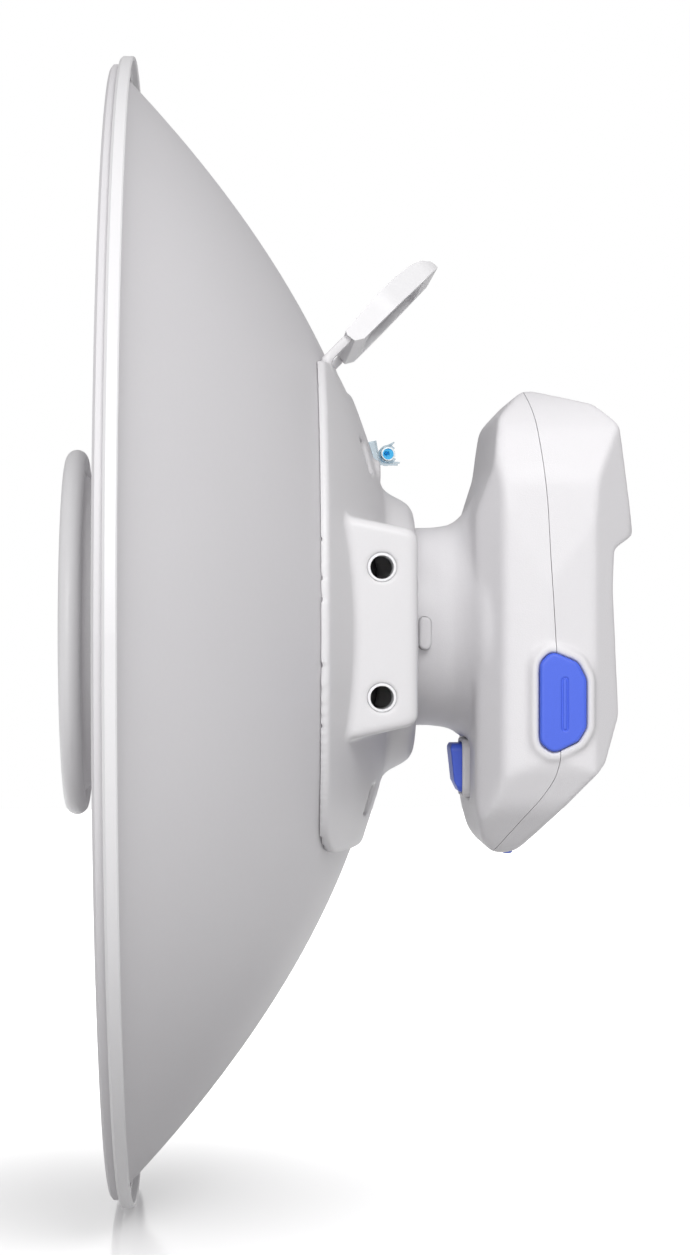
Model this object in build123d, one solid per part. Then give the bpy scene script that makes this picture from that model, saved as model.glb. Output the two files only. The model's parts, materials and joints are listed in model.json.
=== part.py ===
from build123d import *
import math
import os

os.makedirs("parts", exist_ok=True)

# Outdoor wireless bridge: a deep dish antenna with a plug-in radio unit behind it.
# Millimetres. +Z is up, the dish looks towards -Y and the radio unit is on the +Y side.
# The origin is on the dish axis, midway between the four threaded side holes.

# ---- driving dimensions: dish ----
RIM_RADIUS = 206.5
DISH_FOCAL = 104.0
DISH_BACK_VERTEX_Y = 7.2
DISH_WALL = 2.0
DISH_CENTRE_HOLE_R = 24.0
BEAD_RADIUS = 203.6
BEAD_FRONT_Y = -93.0
BEAD_BACK_Y = -88.6
SKIRT_FRONT_Y = -89.6
SKIRT_BACK_Y = -85.0
SEAT_GAP = 0.15

# ---- driving dimensions: feed and sub-reflector ----
CAP_RADIUS = 66.2
CAP_LIP_RADIUS = 3.9
CAP_LIP_Y = -106.7
CAP_FRONT_Y = -111.2
CONE_WIDE_R = 58.0
CONE_NARROW_R = 23.0
CONE_WIDE_Y = -104.6
CONE_NARROW_Y = -66.0
HORN_OUTER_R = 15.0
HORN_BORE_R = 11.0
HORN_REAR_Y = 10.0

# ---- driving dimensions: mount housing ----
SKIN_RADIUS = 109.5
SKIN_THICKNESS = 3.1
SKIN_TOP_Z = 94.6
SKIN_BOTTOM_Z = -76.0
BEAM_HALF_WIDTH = 90.0
BEAM_REAR_Y = 12.2
HUB_REAR_Y = 15.0
# The hub's outside as (radius, Y).
HUB_PROFILE = [
    (0, -6), (54.0, -6), (54.0, 2.4), (50.6, 6.0), (48.0, 11.0),
    (46.4, 13.4), (43.6, HUB_REAR_Y), (0, HUB_REAR_Y),
]
SOCKET_FLOOR_Y = 9.6
SIDE_HOLE_Z = 22.0
SIDE_HOLE_R = 4.0
SIDE_HOLE_DEPTH = 16.0
INSERT_OUTER_R = 4.9

# ---- driving dimensions: hook ----
# Places on the hook are (s, v): s runs up the arms and v is square to them, towards the ground.
HOOK_ROOT_Y = -19.6
HOOK_ROOT_Z = 95.9
HOOK_ANGLE = 45.0
HOOK_HALF_WIDTH = 50.0
HOOK_WALL = 8.5
HOOK_TOP_S = 54.6
HOOK_PROFILE = [
    (12.2, 1.0), (12.8, -0.5), (20, -1.1), (30, -1.7), (40, -1.8), (46.5, -1.2),
    (51.0, 0.4), (53.4, 3.0), (53.8, 6.0), (15.6, 6.0), (12.6, 4.2),
]
ARM_INNER_X = 42.8
ARM_OUTER_X = 48.2
ARM_TOP_V = 0.2
ARM_BOTTOM_V = 3.3
ARM_SHOULDER_S = 12.0
ARM_END_S = 28.0
TONGUE_INNER_X = 43.8
TONGUE_OUTER_X = 47.2
TONGUE_TOP_V = 1.0
TONGUE_BOTTOM_V = 2.9
TONGUE_GAP = 0.1

# ---- driving dimensions: radio unit ----
NECK_RADIUS = 36.0
NECK_CENTRE_Z = 2.0
NECK_CLEARANCE = 0.3
SHELL_WALL = 2.6
BUTTON_Y = 17.6
BUTTON_Z = -0.4

# Planes used for outlines: the side plane holds (Y, Z), the rear plane holds (X, Z).
SIDE = Plane(origin=(0, 0, 0), x_dir=(0, 1, 0), z_dir=(1, 0, 0))
REAR = Plane(origin=(0, 0, 0), x_dir=(1, 0, 0), z_dir=(0, -1, 0))


# ---------------------------------------------------------------- helpers
def outline(points, radius=0.0, inset=0.0):
    """Closed polygon face in local XY, with rounded corners and an optional inset."""
    path = FilletPolyline(*points, radius=radius, close=True) if radius else Polyline(*points, close=True)
    face = make_face(path)
    if inset:
        face = offset(face, amount=-inset, kind=Kind.INTERSECTION)
    return face


def rounded(points, small, large, small_spots):
    """Closed polygon face whose corners are rounded by large, except the listed ones, rounded by small."""
    face = outline(points)
    tight = [v for v in face.vertices() if any(math.hypot(v.X - y, v.Y - z) < 0.1 for y, z in small_spots)]
    face = fillet(tight, radius=small)
    spots = [spot for spot in points if spot not in small_spots]
    wide = [v for v in face.vertices() if any(math.hypot(v.X - y, v.Y - z) < 0.1 for y, z in spots)]
    return fillet(wide, radius=large)


def mirrored(right_half):
    """Whole outline from its right half, listed from top to bottom."""
    return list(right_half) + [(-x, y) for x, y in reversed(right_half)]


def prism_x(face, x_low, x_high):
    """A (Y, Z) face run along X."""
    return extrude(Pos(x_low, 0, 0) * (SIDE * face), amount=x_high - x_low, dir=(1, 0, 0))


def prism_y(face, y_low, y_high):
    """An (X, Z) face run along Y."""
    return extrude(Pos(0, y_low, 0) * (REAR * face), amount=y_high - y_low, dir=(0, 1, 0))


def turned(points):
    """Solid of revolution about the dish axis, from (radius, Y) points."""
    return revolve(make_face(Polyline(*points, close=True)), axis=Axis.Y)


def cylinder_x(radius, x_low, x_high, y, z):
    return Pos((x_low + x_high) / 2, y, z) * Rot(0, 90, 0) * Cylinder(radius, x_high - x_low)


def tube_x(outer, inner, x_low, x_high, y, z):
    return cylinder_x(outer, x_low, x_high, y, z) - cylinder_x(inner, x_low - 1, x_high + 1, y, z)


def cylinder_y(radius, y_low, y_high, x=0.0, z=0.0):
    return Pos(x, (y_low + y_high) / 2, z) * Rot(90, 0, 0) * Cylinder(radius, y_high - y_low)


def cylinder_z(radius, z_low, z_high, x, y):
    return Pos(x, y, (z_low + z_high) / 2) * Cylinder(radius, z_high - z_low)


def box_between(low, high):
    centre = [(a + b) / 2 for a, b in zip(low, high)]
    size = [b - a for a, b in zip(low, high)]
    return Pos(*centre) * Box(*size)


def tube_y(outer, inner, y_low, y_high, x=0.0, z=0.0):
    return cylinder_y(outer, y_low, y_high, x, z) - cylinder_y(inner, y_low - 1, y_high + 1, x, z)


def dish_y(radius, vertex_y):
    return vertex_y - radius * radius / (4 * DISH_FOCAL)


def parabola(r_start, r_end, vertex_y):
    """Exact parabola arc as a quadratic Bezier curve in (radius, Y)."""
    y_start = dish_y(r_start, vertex_y)
    y_end = dish_y(r_end, vertex_y)
    slope = -r_start / (2 * DISH_FOCAL)
    r_middle = (r_start + r_end) / 2
    return Bezier((r_start, y_start), (r_middle, y_start + slope * (r_middle - r_start)), (r_end, y_end))


def behind_dish(gap, reach=200.0):
    """Solid paraboloid up to the dish's back surface plus a gap."""
    vertex = DISH_BACK_VERTEX_Y + gap
    curve = parabola(0, reach, vertex)
    floor_y = dish_y(reach, vertex) - 5
    rest = Polyline((reach, dish_y(reach, vertex)), (reach, floor_y), (0, floor_y), (0, vertex))
    return revolve(make_face(curve + rest), axis=Axis.Y)


def save(name, shape):
    solids = shape.solids()
    result = solids[0] if len(solids) == 1 else Compound(children=list(solids))
    result.label = name
    export_step(result, f"parts/{name}.step")
    print(f"{name}: {len(solids)} solids, {sum(s.volume for s in solids):.0f} mm3")


# ---------------------------------------------------------------- dish
FRONT_VERTEX_Y = DISH_BACK_VERTEX_Y - DISH_WALL
BEAD_INNER_R = 199.6
DISH_SCREW_SPOTS = [(x, z) for x in (-46.0, 46.0) for z in (-25.0, 27.0)]
HUB_SCREW_CIRCLE_R = 29.0
HUB_SCREW_COUNT = 6


def make_dish():
    lip_r = 201.6
    front = parabola(DISH_CENTRE_HOLE_R, lip_r, FRONT_VERTEX_Y)
    lip = Polyline(
        (lip_r, dish_y(lip_r, FRONT_VERTEX_Y)),
        (202.4, BEAD_FRONT_Y),
        (BEAD_RADIUS, BEAD_FRONT_Y + 0.9),
        (BEAD_RADIUS, BEAD_BACK_Y - 0.05),
        (BEAD_INNER_R, dish_y(BEAD_INNER_R, DISH_BACK_VERTEX_Y)),
    )
    back = parabola(DISH_CENTRE_HOLE_R, BEAD_INNER_R, DISH_BACK_VERTEX_Y)
    hole_edge = Line(
        (DISH_CENTRE_HOLE_R, dish_y(DISH_CENTRE_HOLE_R, FRONT_VERTEX_Y)),
        (DISH_CENTRE_HOLE_R, dish_y(DISH_CENTRE_HOLE_R, DISH_BACK_VERTEX_Y)),
    )
    dish = revolve(make_face(front + lip + back + hole_edge), axis=Axis.Y)
    for x, z in DISH_SCREW_SPOTS:
        dish -= cylinder_y(2.7, -20, 20, x, z)
    for x, z in hub_screw_spots():
        dish -= cylinder_y(1.8, -20, 20, x, z)
    return dish


def make_rim_ring():
    wall_inner = 204.6
    web_inner = 200.8
    web_back = BEAD_BACK_Y + 1.3
    return turned([
        (web_inner, BEAD_BACK_Y + 0.05),
        (wall_inner, BEAD_BACK_Y + 0.05),
        (wall_inner, SKIRT_FRONT_Y + 0.4),
        (wall_inner + 0.5, SKIRT_FRONT_Y),
        (RIM_RADIUS - 0.8, SKIRT_FRONT_Y),
        (RIM_RADIUS, SKIRT_FRONT_Y + 0.9),
        (RIM_RADIUS, SKIRT_BACK_Y - 0.5),
        (RIM_RADIUS - 0.4, SKIRT_BACK_Y),
        (RIM_RADIUS - 1.4, SKIRT_BACK_Y),
        (RIM_RADIUS - 1.6, SKIRT_BACK_Y - 0.4),
        (RIM_RADIUS - 1.6, web_back),
        (web_inner, web_back),
    ])


# ---------------------------------------------------------------- feed
CAP_WALL = 1.8
REFLECTOR_RADIUS = 58.5
HORN_COLLAR_R = 20.4
HUB_FLANGE_R = 34.0
HUB_FLANGE_FRONT_Y = -4.0


def make_subreflector_cap():
    """Shallow domed cover with a fat rolled lip."""
    lip_centre_r = CAP_RADIUS - CAP_LIP_RADIUS
    disc = turned([
        (0, CAP_FRONT_Y),
        (lip_centre_r, CAP_LIP_Y - CAP_LIP_RADIUS),
        (lip_centre_r, CAP_LIP_Y - CAP_LIP_RADIUS + CAP_WALL),
        (0, CAP_FRONT_Y + CAP_WALL),
    ])
    lip_section = Pos(lip_centre_r, CAP_LIP_Y) * Circle(CAP_LIP_RADIUS)
    lip = revolve(lip_section, axis=Axis.Y)
    hollow = cylinder_y(REFLECTOR_RADIUS + 0.3, CAP_LIP_Y - 1.5, CAP_LIP_Y + CAP_LIP_RADIUS + 1)
    return disc + (lip - hollow)


def make_subreflector():
    """Shaped metal plate that turns the feed's wave back into the dish."""
    rear_y = CAP_LIP_Y + 1.6
    front_y = CAP_LIP_Y - 1.4
    return turned([
        (0, front_y),
        (REFLECTOR_RADIUS, front_y),
        (REFLECTOR_RADIUS, rear_y),
        (30.0, rear_y + 1.5),
        (12.0, rear_y + 5.0),
        (0, rear_y + 8.0),
    ])


def make_feed_cone():
    """Thin conical radome that carries the sub-reflector on the horn."""
    wall = 2.0
    collar_y = -50.0
    return turned([
        (HORN_COLLAR_R + 0.1, collar_y),
        (CONE_NARROW_R, collar_y),
        (CONE_NARROW_R, CONE_NARROW_Y),
        (CONE_WIDE_R, CONE_WIDE_Y),
        (CONE_WIDE_R - wall * 1.4, CONE_WIDE_Y),
        (HORN_COLLAR_R + 0.1, CONE_NARROW_Y - 1.0),
    ])


def make_feed_horn():
    """Round waveguide with a collar and three choke grooves in its mouth."""
    mouth_y = -67.0
    horn = turned([
        (HORN_BORE_R, HORN_REAR_Y),
        (HORN_OUTER_R, HORN_REAR_Y),
        (HORN_OUTER_R, -48.0),
        (HORN_COLLAR_R, -52.0),
        (HORN_COLLAR_R, mouth_y),
        (HORN_BORE_R + 1.0, mouth_y),
        (HORN_BORE_R, mouth_y + 3.0),
    ])
    for groove in range(3):
        inner = HORN_BORE_R + 2.2 + groove * 2.4
        horn -= tube_y(inner + 1.2, inner, mouth_y - 1, mouth_y + 4.0)
    return horn


def make_feed_hub():
    """Flanged clamp ring that holds the horn in the middle of the dish."""
    curve = parabola(DISH_CENTRE_HOLE_R - 0.3, HUB_FLANGE_R, FRONT_VERTEX_Y - SEAT_GAP)
    start = (DISH_CENTRE_HOLE_R - 0.3, dish_y(DISH_CENTRE_HOLE_R - 0.3, FRONT_VERTEX_Y - SEAT_GAP))
    end = (HUB_FLANGE_R, dish_y(HUB_FLANGE_R, FRONT_VERTEX_Y - SEAT_GAP))
    rest = Polyline(
        end,
        (HUB_FLANGE_R, HUB_FLANGE_FRONT_Y + 2.0),
        (HUB_FLANGE_R - 2.0, HUB_FLANGE_FRONT_Y),
        (21.0, HUB_FLANGE_FRONT_Y),
        (18.5, -14.0),
        (HORN_OUTER_R + 0.05, -14.0),
        (HORN_OUTER_R + 0.05, DISH_BACK_VERTEX_Y - 1.2),
        (DISH_CENTRE_HOLE_R - 0.3, DISH_BACK_VERTEX_Y - 1.2),
        start,
    )
    hub = revolve(make_face(curve + rest), axis=Axis.Y)
    for x, z in hub_screw_spots():
        hub -= cylinder_y(1.7, -20, 20, x, z)
        hub -= cylinder_y(3.2, HUB_FLANGE_FRONT_Y - 1, HUB_FLANGE_FRONT_Y + 1.8, x, z)
    return hub


def hub_screw_spots():
    step = 2 * math.pi / HUB_SCREW_COUNT
    angles = [step * (index + 0.5) for index in range(HUB_SCREW_COUNT)]
    return [(HUB_SCREW_CIRCLE_R * math.cos(a), HUB_SCREW_CIRCLE_R * math.sin(a)) for a in angles]


def socket_screw(x, z, head_front_y, shank_end_y, head_r, head_length, shank_r):
    """Cap screw whose head faces the front of the dish, with a hexagon socket."""
    screw = cylinder_y(head_r, head_front_y, head_front_y + head_length, x, z)
    screw += cylinder_y(shank_r, head_front_y + head_length, shank_end_y, x, z)
    hexagon = Pos(x, z) * RegularPolygon(head_r * 0.55, 6)
    return screw - prism_y(hexagon, head_front_y - 1, head_front_y + head_length * 0.6)


# ---------------------------------------------------------------- mount housing
BEAM_SIDE = [
    (-24, 42.0), (9.4, 35.2), (BEAM_REAR_Y, 32.8),
    (BEAM_REAR_Y, -29.6), (9.4, -31.9), (-24, -39.2),
]
BUTTON_HALF = (2.3, 5.9)
HOOK_SCREW_SPOTS = [(-45.5, 21.5), (45.5, 21.5)]
SKIN_CORNER_R = 30.0
CLAMP_RING_OUTER_R = 33.8
CLAMP_RING_BACK_Y = 7.9
CORE_INNER_X = 54.0
CORE_OUTER_X = 68.0


def hook_frame(s, v):
    """Point (Y, Z) at distance s up the hook and v below its upper face."""
    angle = math.radians(HOOK_ANGLE)
    y = HOOK_ROOT_Y + s * math.cos(angle) + v * math.sin(angle)
    z = HOOK_ROOT_Z + s * math.sin(angle) - v * math.cos(angle)
    return (y, z)


def hook_slab(x_low, x_high, s_low, s_high, v_low, v_high):
    ends = [(s_low, v_low), (s_high, v_low), (s_high, v_high), (s_low, v_high)]
    return prism_x(outline([hook_frame(along, below) for along, below in ends]), x_low, x_high)


def hook_bore(radius, x, s, v_low, v_high):
    """Round solid square to the hook's face."""
    middle = hook_frame(s, (v_low + v_high) / 2)
    return Pos(x, *middle) * Rot(HOOK_ANGLE, 0, 0) * Cylinder(radius, v_high - v_low)


def make_skin():
    """Skin that follows the dish's back, with a flat bottom edge and two horns for the hook's arms."""
    skin = behind_dish(SKIN_THICKNESS) & cylinder_y(SKIN_RADIUS, -40, 20)
    trim = [(-120, SKIN_BOTTOM_Z), (120, SKIN_BOTTOM_Z), (120, SKIN_TOP_Z), (-120, SKIN_TOP_Z)]
    skin = skin & prism_y(outline(trim), -40, 20)
    lines = skin.edges().filter_by(GeomType.LINE)
    corners = [e for e in lines if e.length < 40 and abs(e.center().X) > 40 and e.center().Z < 0]
    skin = fillet(corners, radius=SKIN_CORNER_R)
    notch = outline([(-38, 140), (38, 140), (38, 92), (33, 85.5), (-33, 85.5), (-38, 92)])
    return skin - prism_y(notch, -40, 20)


def make_housing():
    """Skin, cross beam with the threaded ends, hub for the radio's neck, and the hook's two arms."""
    beam = prism_x(outline(BEAM_SIDE, radius=3.0), -BEAM_HALF_WIDTH, BEAM_HALF_WIDTH)
    end_edges = [e for e in beam.edges() if abs(abs(e.center().X) - BEAM_HALF_WIDTH) < 0.01]
    beam = fillet([e for e in end_edges if e.center().Y > -23], radius=2.6)
    hub = turned(HUB_PROFILE)
    housing = make_skin() + beam + hub
    root_top, root_bottom = hook_frame(2, ARM_TOP_V), hook_frame(2, ARM_BOTTOM_V)
    horn = outline([(-23.5, 88.0), (-14.0, 88.0), root_bottom, root_top, (-21.4, 94.0)])
    for side in (-1, 1):
        low, high = sorted((side * ARM_INNER_X, side * ARM_OUTER_X))
        housing += hook_slab(low, high, -1.0, ARM_SHOULDER_S, ARM_TOP_V, ARM_BOTTOM_V)
        housing += prism_x(horn, low, high)
        low, high = sorted((side * TONGUE_INNER_X, side * TONGUE_OUTER_X))
        housing += hook_slab(low, high, ARM_SHOULDER_S - 1, ARM_END_S, TONGUE_TOP_V, TONGUE_BOTTOM_V)
    for x in (-24.0, 24.0):
        housing += cylinder_y(4.5, -12, 2.4, x, 57.0)
    return housing - behind_dish(SEAT_GAP)


def cut_housing(housing):
    """Bores, screw holes, pockets and cores."""
    for side in (-1, 1):
        low, high = sorted((side * CORE_INNER_X, side * (BEAM_HALF_WIDTH + 1)))
        for z in (-SIDE_HOLE_Z, SIDE_HOLE_Z):
            housing -= cylinder_x(INSERT_OUTER_R, low, high, 0, z)
        core = sorted((side * CORE_INNER_X, side * CORE_OUTER_X))
        housing -= box_between((core[0], -20, -28.2), (core[1], BEAM_REAR_Y - 3.2, 30.0))
        end_core = sorted((side * 71.5, side * (BEAM_HALF_WIDTH - 3.5)))
        housing -= box_between((end_core[0], -30, -12.0), (end_core[1], BEAM_REAR_Y - 3.2, 12.0))
    housing -= cylinder_y(NECK_RADIUS + NECK_CLEARANCE, SOCKET_FLOOR_Y, HUB_REAR_Y + 1, 0, NECK_CENTRE_Z)
    housing -= cylinder_y(HORN_OUTER_R + 0.8, -20, 20)
    housing -= cylinder_y(CLAMP_RING_OUTER_R + 0.4, -20, CLAMP_RING_BACK_Y + 0.15)
    for x, z in DISH_SCREW_SPOTS:
        housing -= cylinder_y(2.1, -10, 7, x, z)
    for x in (-13.0, 13.0):
        housing -= box_between((x - 2.0, -20.0, 64.0), (x + 2.0, 20.0, 76.0))
        housing -= box_between((x - 5.0, -20.0, -71.0), (x + 5.0, 10.0, -61.0))
    for x in (-40.0, 40.0):
        housing -= box_between((x - 5.0, -20.0, 56.0), (x + 5.0, 10.0, 68.0))
        housing -= box_between((x - 5.0, -20.0, -64.0), (x + 5.0, 10.0, -54.0))
    for x, s in HOOK_SCREW_SPOTS:
        housing -= hook_bore(1.1, x, s, -1, 5)
    return housing


def make_clamp_ring():
    """Ring behind the dish that the feed hub's screws pull against."""
    inner_r = DISH_CENTRE_HOLE_R + 0.2
    vertex = DISH_BACK_VERTEX_Y + 0.05
    curve = parabola(inner_r, CLAMP_RING_OUTER_R, vertex)
    rest = Polyline(
        (CLAMP_RING_OUTER_R, dish_y(CLAMP_RING_OUTER_R, vertex)),
        (CLAMP_RING_OUTER_R, CLAMP_RING_BACK_Y),
        (inner_r, CLAMP_RING_BACK_Y),
        (inner_r, dish_y(inner_r, vertex)),
    )
    ring = revolve(make_face(curve + rest), axis=Axis.Y)
    for x, z in hub_screw_spots():
        ring -= cylinder_y(1.6, -20, 20, x, z)
    return ring


def make_side_inserts():
    inserts = Part()
    for side in (-1, 1):
        for z in (-SIDE_HOLE_Z, SIDE_HOLE_Z):
            outer_x = side * (BEAM_HALF_WIDTH - 0.2)
            inner_x = outer_x - side * SIDE_HOLE_DEPTH
            low, high = min(outer_x, inner_x), max(outer_x, inner_x)
            sleeve = cylinder_x(INSERT_OUTER_R, low, high, 0, z)
            rings = sleeve.edges().filter_by(GeomType.CIRCLE)
            sleeve = fillet([e for e in rings if abs(e.center().X - outer_x) < 0.01], radius=0.35)
            inserts += sleeve - cylinder_x(SIDE_HOLE_R, low - 1, high + 1, 0, z)
    return inserts


# ---------------------------------------------------------------- hook
def hook_plan(corners, radius):
    """Solid square to the hook's plane from (X, s) corners."""
    plane = Plane(
        origin=(0, HOOK_ROOT_Y, HOOK_ROOT_Z),
        x_dir=(1, 0, 0),
        z_dir=(0, math.sin(math.radians(HOOK_ANGLE)), -math.cos(math.radians(HOOK_ANGLE))),
    )
    flip = -1 if plane.y_dir.Z < 0 else 1
    face = outline([(x, flip * along) for x, along in corners], radius=radius)
    return extrude(plane.offset(-10) * face, amount=30, dir=plane.z_dir)


def make_hook():
    """Loop grip that slides onto the housing's two arms: a deep rounded band with a pierced web inside."""
    half = HOOK_HALF_WIDTH
    body = prism_x(outline([hook_frame(*place) for place in HOOK_PROFILE], radius=0.5), -half - 1, half + 1)
    top_s = HOOK_TOP_S
    corners = [(-half, -25), (-half, 30), (-34, top_s), (34, top_s), (half, 30), (half, -25)]
    body = body & hook_plan(corners, 15.0)
    open_s = (18.5, 46.8)
    inner = half - HOOK_WALL
    opening = mirrored([(30, open_s[1]), (inner, 30), (inner, open_s[0])])
    loop = body - hook_plan(opening, 6.0)
    web = hook_slab(-inner - 1, inner + 1, open_s[0] - 1, open_s[1] + 1, 0.4, 2.6)
    web = web & hook_plan(opening, 6.0)
    web_hole = mirrored([(26, 43.6), (33, 30), (33, 22.0)])
    hook = loop + (web - hook_plan(web_hole, 4.0))
    gap = TONGUE_GAP
    for side in (-1, 1):
        low, high = sorted((side * (TONGUE_INNER_X - gap), side * (TONGUE_OUTER_X + gap)))
        hook -= hook_slab(low, high, 5, ARM_END_S + 2 * gap, TONGUE_TOP_V - gap, TONGUE_BOTTOM_V + gap)
    for x, along in HOOK_SCREW_SPOTS:
        hook -= hook_bore(1.3, x, along, 2.5, 7)
        hook -= hook_bore(2.4, x, along, 4.7, 7)
    return hook


def make_hook_screws():
    """Screws from below that hold the grip on the arms."""
    screws = Part()
    for x, along in HOOK_SCREW_SPOTS:
        screws += hook_bore(1.0, x, along, 1.2, 4.8) + hook_bore(2.2, x, along, 4.75, 5.9)
    return screws


# ---------------------------------------------------------------- spirit level
VIAL_R = 2.6
VIAL_Y = 5.8
VIAL_Z = 64.4
VIAL_HALF_LENGTH = 12.0


def make_level_clip():
    """Clear cradle with two pairs of thin prongs that snap round the vial."""
    base = prism_x(outline([(-3.0, 68.5), (1.6, 69.4), (3.2, 60.4), (0.4, 58.0)]), -9, 9)
    clip = base
    mouth = outline([(VIAL_Y, VIAL_Z), (VIAL_Y + 6, VIAL_Z + 5.2), (VIAL_Y + 6, VIAL_Z - 3.4)])
    upper_tip = [(5.6, 66.9), (6.2, 66.9), (8.3, 68.6), (8.0, 69.0), (5.4, 67.7)]
    lower_tip = [(6.4, 61.9), (7.0, 62.0), (10.2, 61.6), (10.1, 61.1), (6.6, 61.2)]
    for x in (-7.0, 7.0):
        ring = tube_x(VIAL_R + 0.8, VIAL_R + 0.05, x - 1.2, x + 1.2, VIAL_Y, VIAL_Z)
        clip += ring - prism_x(mouth, x - 2, x + 2)
        for tip in (upper_tip, lower_tip):
            clip += prism_x(outline(tip), x - 1.2, x + 1.2)
    return clip - behind_dish(SKIN_THICKNESS + 0.05) - cylinder_x(VIAL_R + 0.05, -10, 10, VIAL_Y, VIAL_Z)


def make_level_vial():
    shell = cylinder_x(VIAL_R, -VIAL_HALF_LENGTH, VIAL_HALF_LENGTH, VIAL_Y, VIAL_Z)
    end_edges = shell.edges().filter_by(GeomType.CIRCLE)
    shell = fillet(end_edges, radius=0.8)
    return shell - cylinder_x(VIAL_R - 0.6, -VIAL_HALF_LENGTH + 0.8, VIAL_HALF_LENGTH - 0.8, VIAL_Y, VIAL_Z)


def level_bubble():
    return Pos(0, VIAL_Y, VIAL_Z + 0.7) * scale(Sphere(1.0), by=(3.2, 1.2, 1.1))


def make_level_fluid():
    fluid = cylinder_x(VIAL_R - 0.62, -VIAL_HALF_LENGTH + 0.85, VIAL_HALF_LENGTH - 0.85, VIAL_Y, VIAL_Z)
    return fluid - level_bubble()


# ---------------------------------------------------------------- radio unit shells
HOOD_CORNERS = [(91.3, 34.4), (83.6, 29.2), (83.0, 15.5), (85.2, -29.3), (35.0, 42), (35.0, -61)]
RADIO_SIDE = [
    (35.0, 42), (40.6, 58), (42.6, 75.6), (52.6, 86.6), (77.0, 80.6), (85.6, 73.1), (91.3, 34.4),
    (83.6, 29.2), (83.0, 15.5), (85.2, -29.3), (79.9, -46.3),
    (50.6, -78.4), (42.0, -79.4), (37.4, -72.8), (35.0, -61),
]
RADIO_PLAN_RIGHT = [(30, 31), (42, 36), (54.5, 44.2), (57.5, 60), (55.5, 76), (42, 89.6), (24, 97)]
RADIO_REAR_RIGHT = [(24, 90), (44, 79), (54, 54), (58, 10), (58, -44), (48, -62), (26, -81)]
SEAM = [
    (51.0, 96), (52.6, 86.6), (56.3, 72.7), (59.2, 48), (60.4, 25), (62.1, -4),
    (63.6, -38), (62.6, -49), (58.4, -57), (51.4, -66), (43.7, -76.4), (37, -86),
]


def radio_body(inset):
    """Faceted body: where the side, plan and rear outlines all agree."""
    side_face = rounded(RADIO_SIDE, 2.0, 7.0, HOOD_CORNERS)
    if inset:
        side_face = offset(side_face, amount=-inset, kind=Kind.INTERSECTION)
    side = prism_x(side_face, -70, 70)
    plan_points = mirrored(RADIO_PLAN_RIGHT)
    plan_face = outline(plan_points, radius=3.0, inset=inset)
    plan = extrude(Pos(0, 0, -100) * plan_face, amount=200, dir=(0, 0, 1))
    rear = prism_y(outline(mirrored(RADIO_REAR_RIGHT), radius=28.0, inset=inset), 0, 110)
    return side & plan & rear


def neck_solid(inset, front_y):
    """Round neck that flares into the front of the body."""
    r_neck = NECK_RADIUS - inset
    flare = [(0, 21), (0.6, 26), (1.6, 29.4), (3.6, 32), (6.4, 34.4), (9.8, 36.6), (12.8, 39.8)]
    curve = Spline(*[(r_neck + out, y + inset) for out, y in flare])
    top = (r_neck + flare[-1][0], flare[-1][1] + inset)
    foot = (r_neck, flare[0][1] + inset)
    rest = Polyline(top, (r_neck + 10, 46), (0, 46), (0, front_y), (r_neck, front_y), foot)
    return Pos(0, 0, NECK_CENTRE_Z) * revolve(make_face(curve + rest), axis=Axis.Y)


SEAM_CLEARANCE = 0.25


def seam_block(shift, y_far):
    """Region on one side of the parting surface, which runs along X."""
    curve = Spline(*[(y + shift, z) for y, z in SEAM])
    top, bottom = SEAM[0], SEAM[-1]
    ends = [(bottom[0] + shift, bottom[1]), (y_far, bottom[1]), (y_far, top[1]), (top[0] + shift, top[1])]
    return prism_x(make_face(curve + Polyline(*ends)), -80, 80)


MAIN_BOARD_Y = 70.0
RF_BOARD_Y = 50.0
BOARD = 1.6
BOARD_HOLES = [(x, z) for x in (-26.0, 26.0) for z in (-42.0, 58.0)]
REAR_SCREW_SPOTS = [(-37.0, 6.0), (37.0, 6.0), (-32.0, 66.0), (32.0, 66.0)]
STANDOFF_FRONT_Y = 64.0
REAR_BOSS_SPLIT_Y = 76.0
REAR_SCREW_SEAT_Y = 80.4
GUIDE_HOLE_R = 7.1


# ---------------------------------------------------------------- ports
SIDE_PORT = [
    (56.3, -10.8), (60.4, -6.5), (69.6, -10.5), (72.6, -16.4),
    (72.6, -33.2), (69.8, -37.9), (61.0, -42.2), (56.3, -38.4),
]
FRONT_PORT = [(-11, -40.5), (11, -40.5), (11, -58), (-11, -58)]
PORT_FACE_X = 56.9
LIP_PROUD = 1.5
PLUG_PROUD = 2.6
LIP_WIDTH = 3.2
PLUG_GAP = 0.25
PORT_STEP = 2.0
FRONT_PORT_Y = 33.5
BOTTOM_PORT_Y = 49.8
BOTTOM_PORT_Z = -78.6
BOTTOM_PLUG_R = 1.5


def side_port_outline(grow):
    face = outline(SIDE_PORT, radius=3.8)
    return offset(face, amount=grow) if grow else face


def front_port_outline(grow):
    face = outline(FRONT_PORT, radius=3.0)
    return offset(face, amount=grow) if grow else face


def make_side_lip():
    """Raised lip of the +X port, moulded with the shells, with a step that the plug's cap sits on."""
    lip = prism_x(side_port_outline(LIP_WIDTH), PORT_FACE_X - 6, PORT_FACE_X + LIP_PROUD)
    top_edges = lip.edges().filter_by_position(Axis.X, PORT_FACE_X + LIP_PROUD - 0.01, PORT_FACE_X + 9)
    lip = fillet(top_edges, radius=1.2)
    lip -= prism_x(side_port_outline(PLUG_GAP), PORT_FACE_X - PORT_STEP, PORT_FACE_X + 9)
    return lip - prism_x(side_port_outline(-1.2), PORT_FACE_X - 9, PORT_FACE_X + 9)


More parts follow.
